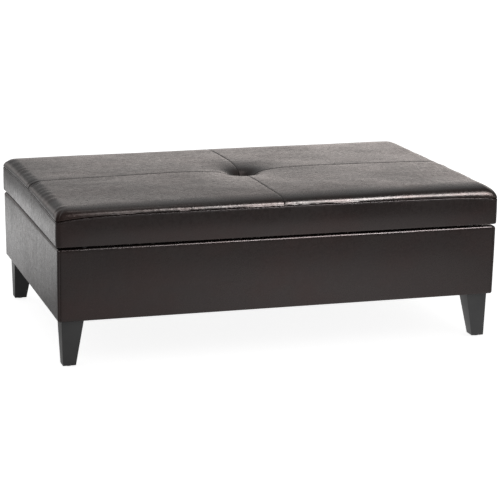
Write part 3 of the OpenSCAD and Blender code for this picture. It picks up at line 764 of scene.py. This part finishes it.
def button():
    """The leather-covered button, drawn tight over its rim."""
    low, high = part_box("tuft_button")
    radius = high.x
    turn = np.linspace(0, 2 * math.pi, 73)[:-1]
    rows = []
    for r, h in BUTTON_PROFILE:
        wrinkle = 1 + 0.02 * noise(91, turn * 4.0) * (r > 0.6)
        ring = np.stack([np.cos(turn), np.sin(turn)], 1) * (r * radius * wrinkle)[:, None]
        rows.append(np.column_stack([ring, np.full(len(turn), low.z + h * (high.z - low.z))]))
    points = np.stack(rows, 1)
    faces = grid_quads(len(turn), len(rows), close_u=True)
    piece = new_piece("tuft_button_cover", points, faces, BUTTON_LEATHER, "lid", 60, 0.02 * MM)
    sub = piece.modifiers.new("smooth", "SUBSURF")
    sub.levels = sub.render_levels = 1
    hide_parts("tuft_button")
    return piece


# ---------------------------------------------------------------- the box


def cover_profile():
    """The box leather's section, from its inner hem over the rim, down the face and under the box.

    Each row is (outwards, height, share of the outer face).
    """
    face_top, face_low = RIM_Z - RIM_R, BOX_Z + HEM_R
    rows = [(-RIM_W, RIM_Z - drop, 0) for drop in (25 * MM, 12 * MM)]
    for turn in quarter_turn(5):
        inner = INNER_RIM_R * (1 - math.cos(turn)) - RIM_W
        rows.append((inner, RIM_Z - INNER_RIM_R * (1 - math.sin(turn)), 0))
    rows += [(-RIM_W * t, RIM_Z, 0) for t in (0.7, 0.45)]
    for turn in quarter_turn(9):
        height = RIM_Z - RIM_R * (1 - math.cos(turn))
        rows.append((-RIM_R * (1 - math.sin(turn)), height, turn / (math.pi / 2)))
    for t in np.linspace(0, 1, 30)[1:-1]:
        rows.append((0.0, face_top + (face_low - face_top) * t, 1))
    for turn in quarter_turn(7):
        height = BOX_Z + HEM_R * (1 - math.sin(turn))
        rows.append((-HEM_R * (1 - math.cos(turn)), height, 1 - turn / (math.pi / 2)))
    rows += [(-flap, BOX_Z, 0) for flap in (10 * MM, 20 * MM, UNDER_FLAP)]
    return rows


def flat_path(step):
    """Front and back: a straight run between the corner seams, with closer points at its ends."""
    end = np.array([0, 0.4, 0.9, 1.6, 2.6, 4.0, 6.0]) * MM
    reach = BOX_X - CORNER_SEAM_IN
    middle = np.arange(-reach + 9 * MM, reach - 9 * MM, step)
    run = np.concatenate([end - reach, middle, (reach - end)[::-1]])
    plan = np.stack([run, np.full(len(run), -BOX_Y)], 1)
    return plan, np.tile([0.0, -1.0], (len(run), 1)), run


def wrapped_path(step):
    """Left and right, laid along the front: round both corners, to the corner seams."""
    half = BOX_Y - BOX_CORNER_R
    past = (CORNER_SEAM_IN - BOX_CORNER_R) * np.array([1.0, 0.4])
    turn = quarter_turn(9)
    end_out = np.concatenate([[[-1.0, 0.0]] * 2, -np.stack([np.cos(turn), np.sin(turn)], 1)])
    end_plan = end_out * BOX_CORNER_R - [half, BOX_X - BOX_CORNER_R]
    end_plan[:2, 1] += past
    left = np.concatenate([past, -turn * BOX_CORNER_R])
    end_run = -half - BOX_CORNER_R * math.pi / 2 - left
    flat = np.arange(-half + step, half - step / 2, step)
    flat_plan = np.stack([flat, np.full(len(flat), -BOX_X)], 1)
    mirror = [-1.0, 1.0]
    plan = np.concatenate([end_plan, flat_plan, end_plan[::-1] * mirror])
    out = np.concatenate([end_out, np.tile([0.0, -1.0], (len(flat), 1)), end_out[::-1] * mirror])
    return plan, out, np.concatenate([end_run, flat, -end_run[::-1]])


def box_path(side, step=5 * MM):
    """One cover's plan points, their outward directions, and their distances along it."""
    plan, out, run = flat_path(step) if side in ("front", "back") else wrapped_path(step)
    turn = SIDES.index(side) * math.pi / 2
    c, s = round(math.cos(turn)), round(math.sin(turn))
    spin = np.array([[c, s], [-s, c]])
    return plan @ spin, out @ spin, run


def box_cover(side):
    """One leather panel of the box with its soft face, rolled rim and pulled-in end seams."""
    plan, out, run = box_path(side)
    seed = 101 + 20 * SIDES.index(side)
    ends = np.minimum(run - run[0], run[-1] - run)
    seam_pull = 2.6 * MM * np.exp(-ends / (0.8 * MM)) + 0.5 * MM * np.exp(-ends / (5 * MM))
    open_side = 1 - np.exp(-ends / (70 * MM))
    pushed = flare(plan[:, 0], plan[:, 1], BOX_X, BOX_Y, BOX_FLARE)
    points = []
    for offset, z, share in cover_profile():
        t = (RIM_Z - z) / (RIM_Z - BOX_Z)
        puff = BOX_PUFF * math.sin(math.pi * t) * open_side
        waves = 0.5 * MM * noise(seed, run / (150 * MM), z / (90 * MM))
        waves += 0.16 * MM * noise(seed + 1, run / (18 * MM), z / (130 * MM))
        place_at = plan + out * (offset + (puff + waves - seam_pull) * share)[:, None]
        place_at += pushed * share * (1 - 0.5 * t)
        if offset < -BOX_CORNER_R:
            limit = np.array([BOX_X + offset, BOX_Y + offset])
            place_at = np.clip(place_at, -limit, limit)
        near_rim = z > RIM_Z - 6 * MM and offset > -15 * MM
        lift = 0.2 * MM * noise(seed + 2, run / (55 * MM)) * near_rim
        sink = 0.4 * seam_pull * (share > 0 and t < 0.1)
        points.append(np.column_stack([place_at, z + lift - sink]))
    points = np.stack(points, 1)
    faces = grid_quads(points.shape[0], points.shape[1])
    piece = new_piece(f"box_{side}_leather", points, faces, SIDE_LEATHER, "box", 60, 0.05 * MM)
    thicken(piece)
    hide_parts(f"box_cover_{side}", *(("box_wadding",) if side == "front" else ()))
    return piece


def plan_box(name, low_z, high_z):
    """Plan corners of a CAD node's points between two heights."""
    spots = np.array([v.co for v in frame["nodes"][name].data.vertices if low_z <= v.co.z <= high_z])
    return (*spots.min(0)[:2], *spots.max(0)[:2])


def leg(name):
    """A lacquered leg with softened edges, between the CAD leg's top and its foot."""
    low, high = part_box(name)
    b = bmesh.new()
    rings = []
    for z, band in ((high.z, (high.z - MM, high.z)), (low.z, (low.z, low.z + 3 * MM))):
        x0, y0, x1, y1 = plan_box(name, *band)
        rings.append([b.verts.new((x, y, z)) for x, y in ((x0, y0), (x1, y0), (x1, y1), (x0, y1))])
    b.faces.new(rings[0])
    b.faces.new(rings[1][::-1])
    for k in range(4):
        n = (k + 1) % 4
        b.faces.new([rings[0][k], rings[1][k], rings[1][n], rings[0][n]])
    bmesh.ops.recalc_face_normals(b, faces=b.faces)
    bmesh.ops.bevel(b, geom=list(b.edges), offset=1.3 * MM, segments=3, profile=0.6, affect="EDGES")
    b.verts.index_update()
    points = [v.co[:] for v in b.verts]
    faces = [[v.index for v in face.verts] for face in b.faces]
    b.free()
    piece = new_piece(name + "_lacquered", points, faces, LACQUER, "box", 35)
    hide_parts(name)
    return piece


# ---------------------------------------------------------------- studio


def camera():
    lens = bpy.data.cameras.new("camera")
    lens.lens, lens.sensor_width = CAMERA_LENS, 36.0
    lens.clip_end = 1000.0
    cam = bpy.data.objects.new("camera", lens)
    bpy.context.scene.collection.objects.link(cam)
    bpy.context.scene.camera = cam
    back = (Vector(CAMERA_AT) - Vector(CAMERA_AIM)).normalized()
    right = (-back).cross(Vector((0, 0, 1))).normalized()
    up = right.cross(-back)
    turned_right = right * math.cos(CAMERA_ROLL) - up * math.sin(CAMERA_ROLL)
    turned_up = right * math.sin(CAMERA_ROLL) + up * math.cos(CAMERA_ROLL)
    axes = Matrix((turned_right, turned_up, back)).transposed()
    cam.matrix_world = Matrix.Translation(CAMERA_AT) @ axes.to_4x4()


def floor():
    """A pale floor that lights the leather by two glowing patches, and shows plain white to the camera."""
    mesh = bpy.data.meshes.new("studio_floor")
    corners = [(x * FLOOR_HALF, y * FLOOR_HALF, 0) for x, y in ((-1, -1), (1, -1), (1, 1), (-1, 1))]
    mesh.from_pydata(corners, [], [(0, 1, 2, 3)])
    material, tree, shader = new_material("studio_floor")
    cloud = noise_at(tree, place(tree), 2.0, 2.0)
    tree.links.new(ramp(tree, cloud, 0.3, 0.7, 0.86, 0.88), shader.inputs["Base Color"])
    shader.inputs["Roughness"].default_value = 0.9
    shader.inputs["Emission Color"].default_value = (1, 1, 1, 1)
    glow = (FLOOR_GLOW,) * 3
    for centre, reach, strength in FLOOR_PATCHES:
        away = node(tree, "ShaderNodeVectorMath", {"operation": "DISTANCE"}, Vector=place(tree))
        away.inputs[1].default_value = centre
        near = node(tree, "ShaderNodeMath", {"operation": "DIVIDE"})
        tree.links.new(away.outputs["Value"], near.inputs[0])
        near.inputs[1].default_value = reach
        glow = mixed(tree, 1.0, glow, ramp(tree, near.outputs[0], 0.1, 1.0, strength, 0.0), "ADD")
    seen = node(tree, "ShaderNodeLightPath").outputs["Is Camera Ray"]
    shown = mixed(tree, seen, glow, (FLOOR_SEEN,) * 3)
    tree.links.new(shown, shader.inputs["Emission Strength"])
    mesh.materials.append(material)
    plane = bpy.data.objects.new("studio_floor", mesh)
    bpy.context.scene.collection.objects.link(plane)


def softbox(name, spot, target, size, power):
    """A panel that the glossy leather mirrors; the rest of the light comes from the room and the floor."""
    data = bpy.data.lights.new(name, "AREA")
    data.shape, data.size, data.size_y = "RECTANGLE", size[0], size[1]
    data.energy = power
    lamp = bpy.data.objects.new(name, data)
    lamp.visible_diffuse = False
    bpy.context.scene.collection.objects.link(lamp)
    lamp.location = spot
    lamp.rotation_euler = (Vector(target) - Vector(spot)).to_track_quat("-Z", "Y").to_euler()


def glow_toward(tree, direction, middle, low, high, colour):
    """A soft patch of the room, by the cosine of the angle from its middle."""
    toward = node(tree, "ShaderNodeVectorMath", {"operation": "DOT_PRODUCT"})
    tree.links.new(direction, toward.inputs[0])
    toward.inputs[1].default_value = Vector(middle).normalized()
    return ramp(tree, toward.outputs["Value"], low, high, (0.0, 0.0, 0.0), colour)


def surroundings():
    """A dim room with a broad glow low behind the object, to the right, and a small one to the left."""
    world = bpy.data.worlds.new("studio")
    bpy.context.scene.world = world
    world.use_nodes = True
    tree = world.node_tree
    shade = next(n for n in tree.nodes if n.type == "BACKGROUND")
    direction = node(tree, "ShaderNodeTexCoord").outputs["Generated"]
    axes = node(tree, "ShaderNodeSeparateXYZ", Vector=direction).outputs
    wall = ramp(tree, axes["Z"], 0.05, 0.5, WALL_GLOW, CEILING_GLOW)
    side = node(tree, "ShaderNodeMath", {"operation": "MULTIPLY_ADD"})
    tree.links.new(axes["Y"], side.inputs[0])
    side.inputs[1].default_value = side.inputs[2].default_value = 0.5
    room = mixed(tree, ramp(tree, side.outputs[0], 0.3, 0.7, 0.0, 1.0), (FRONT_GLOW,) * 3, wall)
    glow = glow_toward(tree, direction, BACK_GLOW_AT, 0.88, 0.995, BACK_GLOW)
    glow = mixed(tree, 1.0, glow, ramp(tree, axes["Z"], 0.14, 0.32, 1.0, 0.05), "MULTIPLY")
    seen = node(tree, "ShaderNodeLightPath").outputs["Is Camera Ray"]
    left_glow = glow_toward(tree, direction, LEFT_GLOW_AT, 0.94, 0.99, LEFT_GLOW)
    glow = mixed(tree, 1.0, glow, left_glow, "ADD")
    lit = mixed(tree, 1.0, room, glow, "ADD")
    tree.links.new(mixed(tree, seen, lit, (1.0, 1.0, 1.0)), shade.inputs["Color"])
    shade.inputs["Strength"].default_value = 1.0


camera()
floor()
surroundings()
softbox("key_front", (1.56, -2.83, 3.0), (0.3, -0.4, 0.4), (1.5, 1.35), 210)
softbox("overhead", (0.1, 0.3, 3.2), (0.1, 0.3, 0.4), (0.7, 1.8), 4)
bpy.context.scene.view_settings.view_transform = "Standard"

dress_cad_nodes()
for y_name, y_sign in (("front", -1), ("back", 1)):
    for x_name, x_sign in (("left", -1), ("right", 1)):
        soft_core = ("lid_foam",) if (x_sign, y_sign) == (-1, -1) else ()
        top_quarter(f"top_cover_panel_{y_name}_{x_name}", x_sign, y_sign, soft_core)
lid_boxing()
top_stitching()
seam_stitching()
button()
for side_name in SIDES:
    box_cover(side_name)
for leg_name in ("leg_front_left", "leg_front_right", "leg_back_left", "leg_back_right"):
    leg(leg_name)
